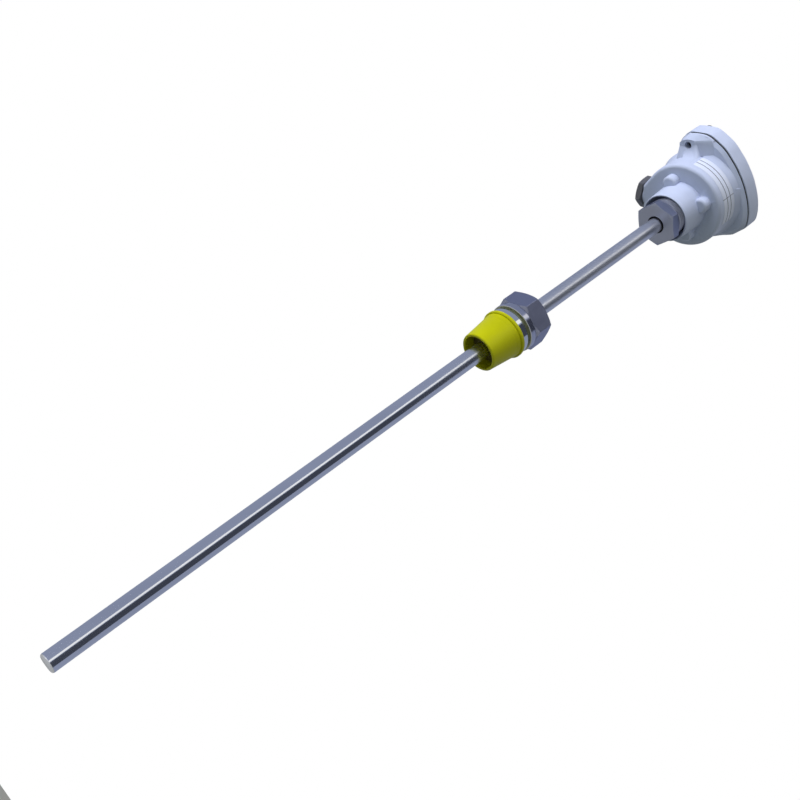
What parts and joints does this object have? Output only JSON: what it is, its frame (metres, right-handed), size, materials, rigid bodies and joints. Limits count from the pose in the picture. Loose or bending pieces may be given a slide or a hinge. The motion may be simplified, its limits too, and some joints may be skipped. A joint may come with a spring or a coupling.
{
  "type": "temperature sensor",
  "caption": "Screw-in industrial temperature sensor: long steel stem, hexagon process fitting with a protected thread, and a plastic connection head with cable gland.",
  "frame": {"origin": "centre of the sealing face of the process fitting, on the stem axis", "axes": "+Z along the stem from the tip towards the head, +X out of the cable gland, right handed"},
  "size_m": [0.0661, 0.0679, 0.4722],
  "materials": {
    "stainless_tube": "drawn, satin",
    "turned_stainless": "turned and milled",
    "grey_plastic": "moulded, fine satin",
    "yellow_plastic": "moulded, soft shine",
    "black_rubber": "matt",
    "black_polyamide": "moulded, satin",
    "zinc_steel": "zinc plated",
    "dark_steel": "blackened",
    "spring_steel": "drawn wire",
    "white_ceramic": "fired, unglazed",
    "packed_oxide": "pressed powder",
    "potting": "cast resin",
    "brass": "machined",
    "red_sleeve": "extruded",
    "white_sleeve": "extruded"
  },
  "bodies": {
    "probe": {"stem_tube": "stainless_tube", "process_fitting": "turned_stainless", "neck_nipple": "turned_stainless", "head_body": "grey_plastic", "lid_gasket": "black_rubber", "gland_bush": "black_rubber", "insert_screws": "zinc_steel", "spring_a": "spring_steel", "spring_b": "spring_steel"},
    "insert": {"insert_plate": "turned_stainless", "insert_sheath": "stainless_tube", "sensing_element": "white_ceramic", "mineral_core": "packed_oxide", "sheath_potting": "potting", "terminal_block": "white_ceramic", "terminal_clamps": "brass", "terminal_screws": "zinc_steel", "leads_red": "red_sleeve", "leads_white": "white_sleeve"},
    "lid": {"lid": "grey_plastic", "lid_screws": "dark_steel"},
    "cap": {"thread_cap": "yellow_plastic"},
    "gland_screw": {"gland_screw": "black_polyamide"}
  },
  "joints": [
    {"name": "lid_lift", "type": "slide", "parent": "probe", "child": "lid", "axis": [0, 0, 1], "range_m": [0, 0.08]},
    {"name": "cap_pull", "type": "slide", "parent": "probe", "child": "cap", "axis": [0, 0, -1], "range_m": [0, 0.28]},
    {"name": "gland_screw_turn", "type": "hinge", "parent": "probe", "child": "gland_screw", "pos_m": [0.0283, 0, 0.173], "axis": [1, 0, 0], "range_deg": [-90, 360]},
    {"name": "insert_spring_travel", "type": "slide", "parent": "probe", "child": "insert", "axis": [0, 0, 1], "range_m": [0, 0.004], "stiffness_N_per_m": 3000, "springref_m": -0.004, "deforming": ["spring_a", "spring_b"]}
  ]
}
